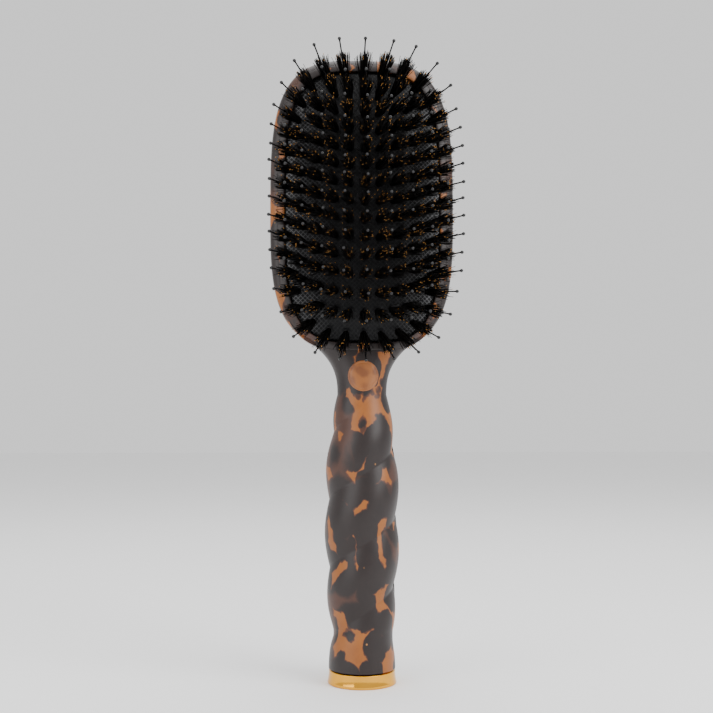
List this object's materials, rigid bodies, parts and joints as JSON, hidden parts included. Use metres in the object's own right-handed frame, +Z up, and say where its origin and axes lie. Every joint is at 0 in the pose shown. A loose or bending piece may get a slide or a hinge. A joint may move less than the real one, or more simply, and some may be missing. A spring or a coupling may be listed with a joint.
{
  "type": "cushioned paddle hairbrush",
  "caption": "Paddle hairbrush with a twisted handle standing on its flat metal end cap, a domed rubber cushion and mixed bristle and ball-tipped quill tufts.",
  "frame": {"origin": "centre of the end cap's flat bottom face, on the handle's axis", "axes": "+Z up the handle to the top of the head, -Y the way the bristles point, +X to the right seen from the bristle side"},
  "size_m": [0.0728, 0.0473, 0.2424],
  "materials": {
    "tortoiseshell": "satin",
    "amber_inlay": "satin",
    "gold_metal": "polished",
    "black_plastic": "satin",
    "cushion_rubber": "matte",
    "boar_bristle": "matte",
    "quill_nylon": "gloss"
  },
  "bodies": {
    "brush_body": {"front_shell": "tortoiseshell", "back_shell": "tortoiseshell", "neck_inlay": "amber_inlay", "end_cap": "gold_metal", "cap_plug": "black_plastic", "cushion_tray": "black_plastic", "cushion_pad": "cushion_rubber"},
    "bristle_field": {"tuft_row_01": "boar_bristle", "tuft_row_02": "boar_bristle", "tuft_row_03": "boar_bristle", "tuft_row_04": "boar_bristle", "tuft_row_05": "boar_bristle", "tuft_row_06": "boar_bristle", "tuft_row_07": "boar_bristle", "tuft_row_08": "boar_bristle", "tuft_row_09": "boar_bristle", "tuft_row_10": "boar_bristle", "tuft_row_11": "boar_bristle", "tuft_row_12": "boar_bristle", "tuft_row_13": "boar_bristle", "quill_row_01": "quill_nylon", "quill_row_02": "quill_nylon", "quill_row_03": "quill_nylon", "quill_row_04": "quill_nylon", "quill_row_05": "quill_nylon", "quill_row_06": "quill_nylon", "quill_row_07": "quill_nylon", "quill_row_08": "quill_nylon", "quill_row_09": "quill_nylon", "quill_row_10": "quill_nylon", "quill_row_11": "quill_nylon", "quill_row_12": "quill_nylon", "quill_row_13": "quill_nylon", "anchor_row_01": "black_plastic", "anchor_row_02": "black_plastic", "anchor_row_03": "black_plastic", "anchor_row_04": "black_plastic", "anchor_row_05": "black_plastic", "anchor_row_06": "black_plastic", "anchor_row_07": "black_plastic", "anchor_row_08": "black_plastic", "anchor_row_09": "black_plastic", "anchor_row_10": "black_plastic", "anchor_row_11": "black_plastic", "anchor_row_12": "black_plastic", "anchor_row_13": "black_plastic"},
    "bristle_rim": {"rim_tufts": "boar_bristle", "rim_quills": "quill_nylon", "rim_anchors": "black_plastic"}
  },
  "joints": [
    {"name": "cushion_press", "type": "slide", "parent": "brush_body", "child": "bristle_field", "axis": [0, 1, 0], "range_m": [0, 0.004], "stiffness_N_per_m": 3000, "deforming": ["cushion_pad"]},
    {"name": "rim_press", "type": "slide", "parent": "brush_body", "child": "bristle_rim", "axis": [0, 1, 0], "range_m": [0, 0.0016], "deforming": ["cushion_pad"]}
  ],
  "couplings": [
    {"joint": "rim_press", "follows": "cushion_press", "ratio": 0.4}
  ]
}
